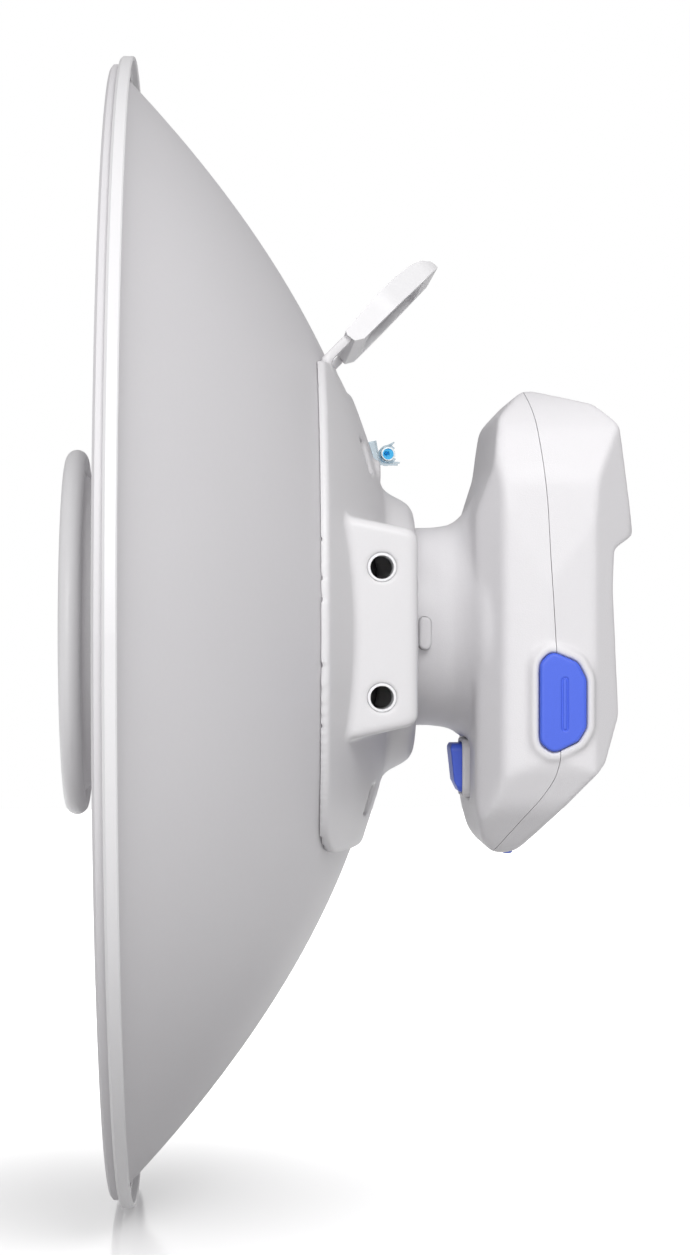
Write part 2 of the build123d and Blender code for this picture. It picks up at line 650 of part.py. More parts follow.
def make_side_plug():
    """Port plug: domed cap with a finger slot, and a skirt that goes into the port."""
    cap = prism_x(side_port_outline(0), PORT_FACE_X - PORT_STEP + 0.1, PORT_FACE_X + PLUG_PROUD)
    top_edges = cap.edges().filter_by_position(Axis.X, PORT_FACE_X + PLUG_PROUD - 0.01, PORT_FACE_X + 9)
    cap = fillet(top_edges, radius=1.2)
    skirt = prism_x(side_port_outline(-1.7), PORT_FACE_X - 8, PORT_FACE_X - PORT_STEP + 0.2)
    skirt -= prism_x(side_port_outline(-3.2), PORT_FACE_X - 9, PORT_FACE_X - PORT_STEP - 0.6)
    slot_centre = Pos(65.0, -25.0)
    ring_outer = slot_centre * SlotOverall(19.0, 2.6, rotation=90)
    ring_inner = slot_centre * SlotOverall(17.6, 1.2, rotation=90)
    slot = prism_x(ring_outer, PORT_FACE_X + PLUG_PROUD - 0.5, PORT_FACE_X + 9)
    slot -= prism_x(ring_inner, PORT_FACE_X, PORT_FACE_X + 9)
    return cap + skirt - slot


def make_side_seal():
    """Rubber ring round the plug's skirt."""
    seal = prism_x(side_port_outline(-1.25), PORT_FACE_X - 5.5, PORT_FACE_X - 4.0)
    return seal - prism_x(side_port_outline(-1.7), PORT_FACE_X - 6, PORT_FACE_X - 3)


def make_front_frame():
    """Raised frame of the lower front port, which faces the dish."""
    frame = prism_y(front_port_outline(1.8), FRONT_PORT_Y - 1.0, FRONT_PORT_Y + 5)
    front_edges = frame.edges().filter_by_position(Axis.Y, FRONT_PORT_Y - 3, FRONT_PORT_Y - 0.99)
    frame = fillet(front_edges, radius=0.6)
    frame -= prism_y(front_port_outline(0.4), FRONT_PORT_Y - 9, FRONT_PORT_Y + 1.0)
    frame -= prism_y(front_port_outline(-1.2), FRONT_PORT_Y - 9, FRONT_PORT_Y + 9)
    return frame


def make_front_plug():
    """Wedge-fronted plug of the lower front port."""
    cap = prism_y(front_port_outline(0), FRONT_PORT_Y - 6.4, FRONT_PORT_Y + 0.9)
    in_front = [(20, -62), (20, -36), (29.9, -38.4), (28.4, -42), (29.7, -54), (31.8, -58.4), (32, -62)]
    cap -= prism_x(outline(in_front), -20, 20)
    skirt = prism_y(front_port_outline(-1.7), FRONT_PORT_Y + 0.8, FRONT_PORT_Y + 6)
    skirt -= prism_y(front_port_outline(-3.4), FRONT_PORT_Y + 1.6, FRONT_PORT_Y + 7)
    return cap + skirt


def make_front_seal():
    seal = prism_y(front_port_outline(-1.25), FRONT_PORT_Y + 2.2, FRONT_PORT_Y + 3.6)
    return seal - prism_y(front_port_outline(-1.7), FRONT_PORT_Y + 2, FRONT_PORT_Y + 4)


def make_bottom_plug():
    cap = cylinder_z(BOTTOM_PLUG_R + 0.5, BOTTOM_PORT_Z - 2.2, BOTTOM_PORT_Z - 0.1, 0, BOTTOM_PORT_Y)
    cap = fillet(cap.edges().filter_by_position(Axis.Z, BOTTOM_PORT_Z - 3, BOTTOM_PORT_Z - 2.1), radius=0.8)
    stem = cylinder_z(BOTTOM_PLUG_R - 0.3, BOTTOM_PORT_Z - 0.2, BOTTOM_PORT_Z + 5.0, 0, BOTTOM_PORT_Y)
    return cap + stem


def port_cutter():
    """Holes for the side ports, the front port's frame and the bottom plug."""
    near = prism_x(side_port_outline(LIP_WIDTH / 2), PORT_FACE_X - 12, PORT_FACE_X + 12)
    front = prism_y(front_port_outline(1.85), FRONT_PORT_Y - 12, FRONT_PORT_Y + 8)
    bottom = cylinder_z(BOTTOM_PLUG_R, BOTTOM_PORT_Z - 3, BOTTOM_PORT_Z + 6, 0, BOTTOM_PORT_Y)
    return near + mirror(near, about=Plane.YZ) + front + bottom


def button_outline(grow):
    half_y, half_z = BUTTON_HALF
    corners = [(-half_y, -half_z), (half_y, -half_z), (half_y, half_z), (-half_y, half_z)]
    face = Pos(BUTTON_Y, BUTTON_Z) * outline(corners, radius=2.2)
    return offset(face, amount=grow) if grow else face


def make_radio_shells():
    outer = radio_body(0) + neck_solid(0, SOCKET_FLOOR_Y + 0.4)
    inner = radio_body(SHELL_WALL) + neck_solid(SHELL_WALL, SOCKET_FLOOR_Y - 1)
    lip = make_side_lip()
    shell = outer - inner - port_cutter() + lip + mirror(lip, about=Plane.YZ)
    rear = shell & seam_block(SEAM_CLEARANCE, 130)
    front = shell - seam_block(0.0, 130)
    front -= prism_x(button_outline(0.2), 20, 60)
    front -= prism_x(Pos(BUTTON_Y, BUTTON_Z - 7.2) * RectangleRounded(3.6, 1.8, 0.6), 34.2, 60)
    front += button_seat()
    bulkhead = tube_y(NECK_RADIUS - SHELL_WALL + 0.3, GUIDE_HOLE_R, 24.0, 26.2, 0, NECK_CENTRE_Z)
    front += bulkhead - cylinder_y(GUIDE_HOLE_R, 20, 30)
    for x, z in BOARD_HOLES:
        front += cylinder_y(3.6, 30, STANDOFF_FRONT_Y, x, z) & outer
    for x, z in REAR_SCREW_SPOTS:
        front += cylinder_y(4.2, 30, REAR_BOSS_SPLIT_Y, x, z) & outer
        front -= cylinder_y(1.4, REAR_BOSS_SPLIT_Y - 12, REAR_BOSS_SPLIT_Y + 1, x, z)
    front -= tube_y(NECK_RADIUS + 1, NECK_RADIUS - 1.4, 11.6, 13.6, 0, NECK_CENTRE_Z)
    return front, rear


def button_seat():
    """Bridge inside the neck that the button's spring pushes on."""
    seat = box_between((24.0, BUTTON_Y - 2.6, BUTTON_Z - 8.2), (26.0, BUTTON_Y + 2.6, BUTTON_Z + 8.2))
    for z in (BUTTON_Z - 8.2, BUTTON_Z + 6.7):
        seat += box_between((24.0, BUTTON_Y - 2.6, z), (33.9, BUTTON_Y + 2.6, z + 1.5))
    return seat


def make_neck_seal():
    return tube_y(NECK_RADIUS + NECK_CLEARANCE - 0.05, NECK_RADIUS - 1.35, 11.7, 13.5, 0, NECK_CENTRE_Z)


def make_shell_gasket():
    slab = seam_block(-1.2, 130) - seam_block(1.4, 131)
    ring = radio_body(SHELL_WALL + 0.05) - radio_body(SHELL_WALL + 1.8)
    keep_out = box_between((46, 40, -50), (70, 90, 0)) + box_between((-70, 40, -50), (-46, 90, 0))
    keep_out += box_between((-5, 40, -90), (5, 56, -70))
    return ring & slab - keep_out


def make_release_button():
    """Latch button in the neck's side, with a stem for its spring."""
    cap = prism_x(button_outline(0), 32.6, 38.6)
    cap = fillet(cap.edges().filter_by_position(Axis.X, 38.59, 39), radius=1.3)
    stem = cylinder_x(1.2, 28.4, 32.7, BUTTON_Y, BUTTON_Z)
    return cap + stem


def make_release_spring():
    pitch, height, radius, wire = 1.4, 5.6, 1.9, 0.28
    helix = Helix(pitch=pitch, height=height, radius=radius)
    section = Plane(origin=helix @ 0, z_dir=helix % 0) * Circle(wire)
    coil = sweep(section, path=helix)
    return Pos(26.4, BUTTON_Y, BUTTON_Z) * Rot(0, 90, 0) * coil


# ---------------------------------------------------------------- radio internals
def make_main_board():
    right_half = [(31, 61.4), (31, 0), (46, -8), (46, -40), (24, -47.6)]
    board = prism_y(outline(mirrored(right_half), radius=2.0), MAIN_BOARD_Y, MAIN_BOARD_Y + BOARD)
    for x, z in BOARD_HOLES:
        board -= cylinder_y(1.7, MAIN_BOARD_Y - 1, MAIN_BOARD_Y + 3, x, z)
    return board


def make_rf_board():
    corners = [(-21, 21), (21, 21), (21, -21), (-21, -21)]
    board = prism_y(outline(corners, radius=2.0), RF_BOARD_Y, RF_BOARD_Y + BOARD)
    return board - cylinder_y(1.9, 40, 60)


def make_shield_can(half_x, z_low, z_high, y_low, y_high):
    wall = 0.4
    inner_low = (-half_x + wall, y_low - 1, z_low + wall)
    inner_high = (half_x - wall, y_high - wall, z_high - wall)
    can = box_between((-half_x, y_low, z_low), (half_x, y_high, z_high))
    return can - box_between(inner_low, inner_high)


def make_heat_sink():
    base_y = MAIN_BOARD_Y + BOARD + 2.6
    sink = box_between((-31, base_y, -30), (31, base_y + 2.4, 26))
    for index in range(11):
        x = -30.0 + index * 6.0
        sink += box_between((x - 0.6, base_y + 2.2, -30), (x + 0.6, base_y + 5.4, 26))
    return sink


def make_waveguide():
    """Radio side of the waveguide joint, which butts on the horn's rear end."""
    guide = cylinder_y(7.0, HORN_REAR_Y + 0.4, RF_BOARD_Y - 3.0)
    guide += cylinder_y(12.0, RF_BOARD_Y - 3.0, RF_BOARD_Y)
    guide += cylinder_y(13.6, HORN_REAR_Y + 0.4, HORN_REAR_Y + 3.4)
    guide -= cylinder_y(1.9, 0, 60)
    for index in range(4):
        angle = math.radians(45 + 90 * index)
        x, z = 10.5 * math.cos(angle), 10.5 * math.sin(angle)
        guide -= cylinder_y(1.1, HORN_REAR_Y, HORN_REAR_Y + 5, x, z)
    return guide


def make_standoffs():
    posts = Part()
    for x, z in BOARD_HOLES:
        posts += tube_y(3.0, 1.3, STANDOFF_FRONT_Y, MAIN_BOARD_Y, x, z)
    return posts


def make_board_screws():
    screws = Part()
    for x, z in BOARD_HOLES:
        screws += cylinder_y(2.8, MAIN_BOARD_Y + BOARD, MAIN_BOARD_Y + BOARD + 1.6, x, z)
        screws += cylinder_y(1.25, MAIN_BOARD_Y - 5.5, MAIN_BOARD_Y + BOARD + 0.1, x, z)
    return screws


def make_ethernet_jack():
    """Shielded jack with its mouth towards the +X port."""
    jack = box_between((27.0, 56.5, -33.5), (47.0, MAIN_BOARD_Y, -17.0))
    jack -= box_between((33.0, 58.0, -31.5), (48.0, 68.0, -19.0))
    return jack


def make_sfp_cage():
    """Thin cage with its mouth towards the -X port."""
    cage = box_between((-47.0, 57.5, -33.0), (-4.0, MAIN_BOARD_Y, -17.5))
    return cage - box_between((-48.0, 58.0, -32.5), (-4.6, MAIN_BOARD_Y - 0.5, -18.0))


def make_power_socket():
    socket = box_between((-8.0, 41.5, -56.0), (8.0, 54.0, -43.0))
    return socket - box_between((-6.2, 41.0, -54.5), (6.2, 51.0, -45.0))


def make_rear_screws():
    """Recessed screws that pull the rear shell onto the front shell's bosses."""
    screws = Part()
    for x, z in REAR_SCREW_SPOTS:
        screws += cylinder_y(2.9, REAR_SCREW_SEAT_Y + 0.1, REAR_SCREW_SEAT_Y + 2.1, x, z)
        screws += cylinder_y(1.35, REAR_BOSS_SPLIT_Y - 10, REAR_SCREW_SEAT_Y + 0.2, x, z)
    return screws


def cut_rear_screws(rear):
    for x, z in REAR_SCREW_SPOTS:
        rear += cylinder_y(4.4, REAR_BOSS_SPLIT_Y + 0.1, 95.0, x, z) & radio_body(0)
        rear -= cylinder_y(3.2, REAR_SCREW_SEAT_Y, 100.0, x, z)
        rear -= cylinder_y(1.6, 70.0, 90.0, x, z)
    return rear


def make_light_pipe():
    """Clear strip of five windows low on the rear shell's slope."""
    pipe = Part()
    for index in range(5):
        pipe += cylinder_z(1.3, -70.0, -50.0, (index - 2) * 5.0, 70.5)
    return pipe & radio_body(0.1) - radio_body(SHELL_WALL + 1.5)


def cut_light_pipe(rear):
    for index in range(5):
        rear -= cylinder_z(1.35, -75.0, -45.0, (index - 2) * 5.0, 70.5)
    return rear


# ---------------------------------------------------------------- write the parts
def main():
    save("dish_reflector", make_dish())
    save("rim_ring", make_rim_ring())
    save("subreflector_cap", make_subreflector_cap())
    save("subreflector", make_subreflector())
    save("feed_cone", make_feed_cone())
    save("feed_horn", make_feed_horn())
    save("feed_hub", make_feed_hub())
    save("feed_clamp_ring", make_clamp_ring())
    save("feed_hub_screws", Part() + [
        socket_screw(x, z, HUB_FLANGE_FRONT_Y, CLAMP_RING_BACK_Y - 0.2, 2.9, 1.8, 1.5)
        for x, z in hub_screw_spots()
    ])
    save("dish_screws", Part() + [
        socket_screw(x, z, dish_y(math.hypot(x, z), FRONT_VERTEX_Y) - 4.4, 5.5, 4.2, 3.0, 2.0)
        for x, z in DISH_SCREW_SPOTS
    ])

    save("mount_housing", cut_housing(make_housing()))
    save("side_thread_inserts", make_side_inserts())
    save("hook_handle", make_hook())
    save("hook_screws", make_hook_screws())
    save("level_clip", make_level_clip())
    save("level_vial", make_level_vial())
    save("level_fluid", make_level_fluid())
    save("level_bubble", level_bubble())

    front, rear = make_radio_shells()
    save("radio_front_shell", front)
    save("radio_rear_shell", cut_light_pipe(cut_rear_screws(rear)))
    save("shell_gasket", make_shell_gasket())
    save("neck_seal", make_neck_seal())
    save("rear_shell_screws", make_rear_screws())
    save("status_light_pipes", make_light_pipe())
    save("release_button", make_release_button())
    save("release_spring", make_release_spring())

    near_plug, near_seal = make_side_plug(), make_side_seal()
    save("port_plug_right", near_plug)
    save("port_seal_right", near_seal)
    save("port_plug_left", mirror(near_plug, about=Plane.YZ))
    save("port_seal_left", mirror(near_seal, about=Plane.YZ))
    save("port_frame_front", make_front_frame())
    save("port_plug_front", make_front_plug())
    save("port_seal_front", make_front_seal())
    save("port_plug_bottom", make_bottom_plug())

    save("main_board", make_main_board())
    save("rf_board", make_rf_board())
    save("rf_shield_can", make_shield_can(18, -18, 18, RF_BOARD_Y + BOARD, RF_BOARD_Y + BOARD + 5))
    save("cpu_shield_can", make_shield_can(22, 30, 54, MAIN_BOARD_Y - 5, MAIN_BOARD_Y))
    save("heat_sink", make_heat_sink())
    save("waveguide_adapter", make_waveguide())
    save("board_standoffs", make_standoffs())
    save("board_screws", make_board_screws())
    save("ethernet_jack", make_ethernet_jack())
    save("sfp_cage", make_sfp_cage())
    save("power_socket", make_power_socket())
    save("gps_antenna", box_between((-12.5, 56.0, 68.0), (12.5, 78.0, 72.0)))
    save("backup_antenna", box_between((-26.0, 80.0, 38.0), (26.0, 81.6, 68.0)))
    save("reset_switch", box_between((-3.0, 45.5, -70.0), (3.0, 51.0, -66.0)))


main()
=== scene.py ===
"""Looks for the outdoor wireless bridge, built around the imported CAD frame. Metres, +Z up, dish facing -Y."""

import json
import math

import bmesh
import bpy
from mathutils import Matrix, Vector


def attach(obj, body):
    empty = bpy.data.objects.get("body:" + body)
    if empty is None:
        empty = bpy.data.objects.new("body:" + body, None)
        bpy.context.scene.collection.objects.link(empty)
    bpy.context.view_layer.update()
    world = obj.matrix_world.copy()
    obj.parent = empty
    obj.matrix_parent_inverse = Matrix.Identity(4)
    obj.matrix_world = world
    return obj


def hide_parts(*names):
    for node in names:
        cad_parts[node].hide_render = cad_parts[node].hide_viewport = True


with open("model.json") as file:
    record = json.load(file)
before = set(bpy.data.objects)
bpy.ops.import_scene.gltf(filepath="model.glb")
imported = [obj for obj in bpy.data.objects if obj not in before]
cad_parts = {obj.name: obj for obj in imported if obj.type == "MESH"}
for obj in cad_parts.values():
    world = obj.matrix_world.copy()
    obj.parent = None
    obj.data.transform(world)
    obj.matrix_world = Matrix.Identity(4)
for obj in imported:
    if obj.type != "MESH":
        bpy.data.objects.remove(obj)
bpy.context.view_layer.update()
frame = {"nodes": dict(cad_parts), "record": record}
NODES = frame["nodes"]
BODY_OF = {n: b for b, names in frame["record"]["behaviour"]["bodies"].items() for n in names}
SLOT_OF = {s["node"]: s["material_slot"] for s in frame["record"]["subparts"]}
scene = bpy.context.scene

# ---------------------------------------------------------------- camera
CAMERA_PLACE = (1.1667, -0.0497, 0.00165)
CAMERA_TURN = 0.0345  # radians that the view turns from -X towards +Y
SENSOR_HEIGHT_MM = 24.0
LENS_MM = 61.18
NEAR_CLIP = 0.01
FAR_CLIP = 50


def make_camera():
    """A level camera on the +X side."""
    data = bpy.data.cameras.new("camera")
    data.sensor_fit = "VERTICAL"
    data.sensor_height = SENSOR_HEIGHT_MM
    data.lens = LENS_MM
    data.clip_start = NEAR_CLIP
    data.clip_end = FAR_CLIP
    camera = bpy.data.objects.new("camera", data)
    scene.collection.objects.link(camera)
    right = Vector((math.sin(CAMERA_TURN), math.cos(CAMERA_TURN), 0))
    back = Vector((math.cos(CAMERA_TURN), -math.sin(CAMERA_TURN), 0))
    turn = Matrix((right, Vector((0, 0, 1)), back)).transposed().to_4x4()
    camera.matrix_world = Matrix.Translation(CAMERA_PLACE) @ turn
    scene.camera = camera


# ---------------------------------------------------------------- materials
NOISE_BAND = (0.3, 0.7)  # where most of a noise texture's values lie
BROAD_SCALE = 14  # cells per metre of the slow changes in tone
BROAD_DETAIL = 4
SPECK_SCALE_SHARE = 0.8  # size of the specks beside the surface grain
SPECK_SHARE = 0.4  # how much of the tone comes from the specks, and how much from the slow changes
BROAD_SHARE = 0.6
ROUGH_SPREAD = 0.1
BUMP_HEIGHT = 0.0001
MOULDING_IOR = 1.5
COAT_ROUGHNESS = 0.25
FLOW_SCALE = 300
FLOW_ROUGH_SPREAD = 0.03


def shader(name):
    """A new node material: its node tree and its Principled shader."""
    mat = bpy.data.materials.new(name)
    mat.use_nodes = True
    return mat, mat.node_tree, mat.node_tree.nodes["Principled BSDF"]


def object_noise(tree, scale, detail=3.0, stretch=(1, 1, 1)):
    """A noise texture on object coordinates, whose scale is in cells per metre."""
    place = tree.nodes.new("ShaderNodeTexCoord")
    mapping = tree.nodes.new("ShaderNodeMapping")
    mapping.inputs["Scale"].default_value = stretch
    noise = tree.nodes.new("ShaderNodeTexNoise")
    noise.inputs["Scale"].default_value = scale
    noise.inputs["Detail"].default_value = detail
    tree.links.new(place.outputs["Object"], mapping.inputs["Vector"])
    tree.links.new(mapping.outputs["Vector"], noise.inputs["Vector"])
    return noise


def spread(tree, source, low, high):
    """Maps a noise's middle band to the range low..high."""
    ramp = tree.nodes.new("ShaderNodeMapRange")
    ramp.inputs["From Min"].default_value = NOISE_BAND[0]
    ramp.inputs["From Max"].default_value = NOISE_BAND[1]
    ramp.inputs["To Min"].default_value = low
    ramp.inputs["To Max"].default_value = high
    tree.links.new(source, ramp.inputs["Value"])
    return ramp.outputs["Result"]


def tint(tree, factor, dark, light):
    """A colour that runs from dark to light with factor."""
    mix = tree.nodes.new("ShaderNodeMix")
    mix.data_type = "RGBA"
    mix.inputs["A"].default_value = (*dark, 1)
    mix.inputs["B"].default_value = (*light, 1)
    tree.links.new(factor, mix.inputs["Factor"])
    return mix.outputs["Result"]


def shade(colour, k):
    """The colour made k times as light."""
    return tuple(min(1.0, c * k) for c in colour)


def math_node(tree, operation, source, number):
    """A math node that works on source and a fixed number."""
    node = tree.nodes.new("ShaderNodeMath")
    node.operation = operation
    node.inputs[1].default_value = number
    tree.links.new(source, node.inputs[0])
    return node


def coated(name, colour, rough, grain=2400, depth=0.02, mottle=0.03, metal=0.0, stretch=(1, 1, 1), coat=0.0):
    """A moulded or coated surface: faint tone changes, roughness that varies, and a fine surface grain."""
    mat, tree, main = shader(name)
    broad = object_noise(tree, BROAD_SCALE, BROAD_DETAIL)
    speck = object_noise(tree, grain * SPECK_SCALE_SHARE, 1.5, stretch)
    fine = object_noise(tree, grain, 2.0, stretch)
    slow = math_node(tree, "MULTIPLY", broad.outputs["Fac"], BROAD_SHARE)
    both = math_node(tree, "MULTIPLY_ADD", speck.outputs["Fac"], SPECK_SHARE)
    tree.links.new(slow.outputs[0], both.inputs[2])
    tone = spread(tree, both.outputs[0], 0.0, 1.0)
    base = tint(tree, tone, shade(colour, 1 - mottle), shade(colour, 1 + mottle))
    tree.links.new(base, main.inputs["Base Color"])
    rough_low = rough * (1 - ROUGH_SPREAD)
    rough_high = min(1.0, rough * (1 + ROUGH_SPREAD))
    tree.links.new(spread(tree, broad.outputs["Fac"], rough_low, rough_high), main.inputs["Roughness"])
    bump = tree.nodes.new("ShaderNodeBump")
    bump.inputs["Strength"].default_value = depth * 10
    bump.inputs["Distance"].default_value = BUMP_HEIGHT
    tree.links.new(fine.outputs["Fac"], bump.inputs["Height"])
    tree.links.new(bump.outputs["Normal"], main.inputs["Normal"])
    main.inputs["Metallic"].default_value = metal
    main.inputs["Coat Weight"].default_value = coat
    main.inputs["Coat Roughness"].default_value = COAT_ROUGHNESS
    main.inputs["IOR"].default_value = MOULDING_IOR
    return mat


def clear(name, colour, rough=0.03, ior=1.49):
    """Clear moulded plastic or fluid, with faint flow lines."""
    mat, tree, main = shader(name)
    flow = object_noise(tree, FLOW_SCALE, 2).outputs["Fac"]
    base = tint(tree, spread(tree, flow, 0, 1), shade(colour, 0.95), colour)
    tree.links.new(base, main.inputs["Base Color"])
    tree.links.new(spread(tree, flow, rough, rough + FLOW_ROUGH_SPREAD), main.inputs["Roughness"])
    main.inputs["Transmission Weight"].default_value = 1.0
    main.inputs["IOR"].default_value = ior
    return mat


MATERIALS = {
    "dish_white": coated("dish_coat", (0.605, 0.595, 0.61), 0.50, grain=900, depth=0.01, mottle=0.01),
    "rim_white": coated(
        "rim_coat", (0.69, 0.685, 0.695), 0.35, grain=1200, depth=0.01, mottle=0.01, coat=0.1,
    ),
    "cap_white": coated("cap_coat", (0.80, 0.795, 0.805), 0.40, grain=1200, depth=0.01, mottle=0.01),
    "cone_grey": coated("cone_moulding", (0.86, 0.85, 0.86), 0.55, grain=1600, depth=0.03),
    "raw_aluminium": coated(
        "turned_aluminium", (0.70, 0.71, 0.73), 0.35, grain=1500, depth=0.03, metal=1.0, stretch=(1, 12, 1),
    ),
    "housing_white": coated(
        "housing_nylon", (0.63, 0.622, 0.633), 0.45, grain=2200, depth=0.03, mottle=0.015,
    ),
    "steel": coated("plated_steel", (0.52, 0.52, 0.53), 0.38, grain=2600, depth=0.03, metal=1.0),
    "insert_grey": coated("insert_coat", (0.74, 0.74, 0.75), 0.4, grain=2600, depth=0.03),
    "hook_white": coated("hook_nylon", (0.72, 0.715, 0.725), 0.42, grain=2200, depth=0.03, mottle=0.015),
    "clip_clear": clear("clip_plastic", (0.55, 0.64, 0.70), 0.15, 1.3),
    "vial_clear": clear("vial_acrylic", (0.90, 0.97, 1.0), 0.03, 1.06),
    "fluid_blue": clear("level_fluid", (0.12, 0.56, 0.93), 0.02, 1.08),
    "bubble": clear("air_bubble", (0.97, 0.99, 1.0), 0.01, 1.05),
    "radio_white": coated("radio_moulding", (0.67, 0.66, 0.675), 0.45, grain=2600, depth=0.06, mottle=0.02),
    "plug_blue": coated("plug_polymer", (0.055, 0.12, 0.68), 0.45, grain=2600, depth=0.04, mottle=0.05),
    "seal_black": coated("silicone", (0.03, 0.03, 0.03), 0.7, grain=1800, depth=0.04),
    "board_green": coated(
        "solder_mask", (0.03, 0.16, 0.08), 0.35, grain=500, depth=0.04, mottle=0.12, coat=0.4,
    ),
    "tin": coated("tinned_steel", (0.68, 0.68, 0.67), 0.3, grain=1400, depth=0.02, metal=1.0),
    "brass": coated("turned_brass", (0.72, 0.53, 0.25), 0.3, grain=2000, depth=0.02, metal=1.0),
    "jack_black": coated("black_nylon", (0.03, 0.03, 0.032), 0.5, grain=2400, depth=0.05),
    "ceramic_patch": coated("patch_ceramic", (0.66, 0.60, 0.50), 0.5, grain=1500, depth=0.02),
    "light_clear": clear("light_pipe", (0.95, 0.97, 1.0), 0.2),
}


def dress(obj, slot):
    """Gives every face of obj the material of a record slot."""
    obj.data.materials.clear()
    obj.data.materials.append(MATERIALS[slot])


# ---------------------------------------------------------------- softened mouldings
MM = 0.001
EDGE_ANGLE = math.radians(50)  # edges sharper than this stay crisp
SMOOTH_FACTOR = 0.5
EVEN_ROUNDS = 3  # smoothing rounds all over a piece whose rounding is uneven
HOUSING_VOXEL = 1.0 * MM
HOUSING_ROUNDS = 7
HOUSING_SOFT_RADIUS = 96.0  # millimetres from the dish's axis, inside which the housing is fully softened
HOUSING_FADE = 6.0  # millimetres over which the softening stops
# The small mouldings: node, voxel size and smoothing rounds.
SMALL_MOULDINGS = (
    ("release_button", 0.4 * MM, 6),
    ("port_frame_front", 0.4 * MM, 5),
    ("port_plug_right", 0.22 * MM, 5),
    ("port_plug_left", 0.22 * MM, 5),
    ("port_plug_front", 0.35 * MM, 4),
    ("port_plug_bottom", 0.35 * MM, 4),
)


def baked(piece):
    """Applies piece's modifiers to its mesh."""
    bpy.context.view_layer.update()
    solid = piece.evaluated_get(bpy.context.evaluated_depsgraph_get())
    mesh = bpy.data.meshes.new_from_object(solid)
    piece.modifiers.clear()
    piece.data = mesh
    return mesh


def add_smooth(piece, rounds, group=""):
    """Smooths piece, all over or by a vertex group's weights."""
    smooth = piece.modifiers.new("smooth", "SMOOTH")
    smooth.factor = SMOOTH_FACTOR
    smooth.iterations = rounds
    smooth.vertex_group = group


def remeshed(name, mesh, voxel):
    """A new object whose surface is an even net of small faces over a closed mesh."""
    piece = bpy.data.objects.new(name, mesh)
    scene.collection.objects.link(piece)
    remesh = piece.modifiers.new("remesh", "REMESH")
    remesh.mode = "VOXEL"
    remesh.voxel_size = voxel
    baked(piece)
    return piece


def finish_piece(piece, node):
    """Shades piece, and makes it stand in for a CAD node, with that node's slot and body."""
    piece.data.shade_smooth()
    piece.data.set_sharp_from_angle(angle=EDGE_ANGLE)
    dress(piece, SLOT_OF[node])
    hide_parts(node)
    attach(piece, BODY_OF[node])


def weigh(piece, name, weight_at):
    """Vertex group whose weights come from each vertex's place, in millimetres."""
    group = piece.vertex_groups.new(name=name)
    for v in piece.data.vertices:
        weight = min(1.0, max(0.0, weight_at(*(v.co / MM))))
        if weight > 0:
            group.add([v.index], weight, "REPLACE")


def softened(node, voxel, rounds, weight_at=None):
    """A moulded piece made from a CAD node: its edges are rounded over as a mould rounds them.

    weight_at gives the rounding's strength at a place, where the piece isn't rounded evenly.
    """
    piece = remeshed(node + "_moulding", NODES[node].data.copy(), voxel)
    if weight_at:
        weigh(piece, "soft", weight_at)
        add_smooth(piece, EVEN_ROUNDS)
    add_smooth(piece, rounds, "soft" if weight_at else "")
    baked(piece)
    finish_piece(piece, node)


def housing_softness(x, y, z):
    """Strength of the housing's softening: full near the axis, none at the outer strip's thin edge."""
    return 1.0 - (math.hypot(x, z) - HOUSING_SOFT_RADIUS) / HOUSING_FADE


# ---------------------------------------------------------------- radio unit
# The parting line of the two shells in the side view, as (Y, Z) in millimetres.
SEAM = [
    (49.0, 112), (51.0, 96), (52.6, 86.6), (56.3, 72.7), (59.2, 48), (60.4, 25), (62.1, -4),
    (63.6, -38), (62.6, -49), (58.4, -57), (51.4, -66), (43.7, -76.4), (37, -86), (33, -94),
]
SEAM_STEPS = 8
SEAM_GAP = 0.10  # millimetres on each side of the parting line
SEAM_HALF_WIDTH = 75  # X reach of the solids that cut the body along the line
BEFORE_BODY_Y = 0  # and their Y reach, past the body's front and its back
BEHIND_BODY_Y = 130
SEAM_EDGE = 1.0  # millimetres from the line within which the rear shell's edge moves forward
SEAM_CLOSING = 0.7  # and how far it moves, so that the two shells join
BODY_VOXEL = 0.95 * MM
BODY_ROUNDS = 7
FRONT_ROUNDS = 26  # extra rounds for the body's front, which fade in and out over these Y ranges
FRONT_FADE_IN = (24.0, 30.0)
FRONT_FADE_OUT = (46.0, 60.0)


def spline(p, q, r, s, t):
    """Value at t on the smooth curve from q to r, whose neighbours are p and s."""
    square = 2 * p - 5 * q + 4 * r - s
    cube = 3 * q - p - 3 * r + s
    return 0.5 * (2 * q + (r - p) * t + square * t * t + cube * t ** 3)


def seam_line():
    """Smooth curve through the parting line's points, with its first and last points as guides."""
    line = []
    for guides in zip(SEAM, SEAM[1:], SEAM[2:], SEAM[3:]):
        for k in range(SEAM_STEPS):
            line.append(tuple(spline(*values, k / SEAM_STEPS) for values in zip(*guides)))
    return line + [SEAM[-2]]


def seam_y(z, line):
    """Y of the parting line at height z, in millimetres."""
    for (ya, za), (yb, zb) in zip(line, line[1:]):
        if zb <= z <= za:
            return ya + (yb - ya) * (za - z) / max(za - zb, 1e-6)
    return line[0][0] if z > line[0][1] else line[-1][0]


def prism(name, rings):
    """Closed mesh between two rings of as many (x, y, z) places in millimetres."""
    verts = [tuple(c * MM for c in place) for ring in rings for place in ring]
    n = len(rings[0])
    faces = [tuple(range(n)), tuple(range(2 * n - 1, n - 1, -1))]
    faces += [(k, k + n, (k + 1) % n + n, (k + 1) % n) for k in range(n)]
    mesh = bpy.data.meshes.new(name)
    mesh.from_pydata(verts, [], faces)
    work = bmesh.new()
    work.from_mesh(mesh)
    bmesh.ops.recalc_face_normals(work, faces=work.faces)
    work.to_mesh(mesh)
    work.free()
    return mesh


